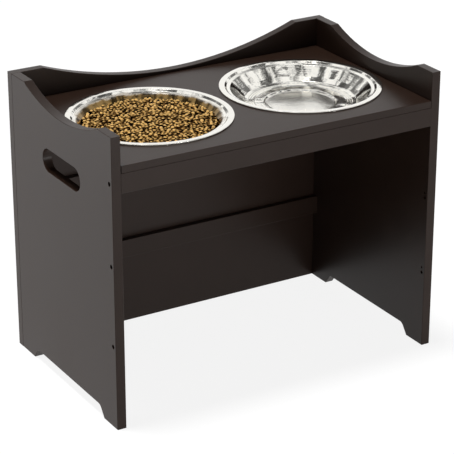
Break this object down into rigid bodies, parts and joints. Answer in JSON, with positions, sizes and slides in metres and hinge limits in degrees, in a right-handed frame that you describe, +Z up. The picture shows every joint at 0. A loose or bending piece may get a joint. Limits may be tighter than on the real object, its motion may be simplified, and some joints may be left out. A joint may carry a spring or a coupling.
{
  "type": "raised pet feeder",
  "caption": "Raised dog feeder of dark painted boards: lift-out steel bowls in a lift-off shelf, scooped side and back panels with handle slots, and an open storage bay below.",
  "frame": {"origin": "on the floor, at the middle of the bounding box's footprint", "axes": "+X to the right across the two bowls, +Y from the front towards the back panel, +Z up"},
  "size_m": [0.6, 0.358, 0.488],
  "materials": {
    "espresso_board": "fibreboard with satin dark espresso paint, eased edges",
    "bowl_steel": "mirror polished stainless steel",
    "kibble": "dry baked food pieces, matt and slightly oily",
    "black_screws": "black oxide",
    "beech_dowels": "plain beech"
  },
  "bodies": {
    "stand": {"back_dowels_left": "beech_dowels", "back_dowels_right": "beech_dowels", "back_panel": "espresso_board", "back_screws_left": "black_screws", "back_screws_right": "black_screws", "front_rail": "espresso_board", "front_rail_dowels": "beech_dowels", "front_rail_screws": "black_screws", "rear_rail_bottom": "espresso_board", "rear_rail_middle": "espresso_board", "rear_rail_screws_bottom": "black_screws", "rear_rail_screws_middle": "black_screws", "rear_rail_screws_top": "black_screws", "rear_rail_top": "espresso_board", "shelf_pegs": "beech_dowels", "side_panel_left": "espresso_board", "side_panel_right": "espresso_board"},
    "shelf": {"bowl_shelf": "espresso_board"},
    "left_dish": {"bowl_left": "bowl_steel", "kibble": "kibble"},
    "right_dish": {"bowl_right": "bowl_steel"}
  },
  "joints": [
    {"name": "shelf_lift", "type": "slide", "parent": "stand", "child": "shelf", "axis": [0, 0, 1], "range_m": [0, 0.12]},
    {"name": "left_bowl_lift", "type": "slide", "parent": "shelf", "child": "left_dish", "axis": [0, 0, 1], "range_m": [0, 0.08]},
    {"name": "right_bowl_lift", "type": "slide", "parent": "shelf", "child": "right_dish", "axis": [0, 0, 1], "range_m": [0, 0.08]}
  ]
}
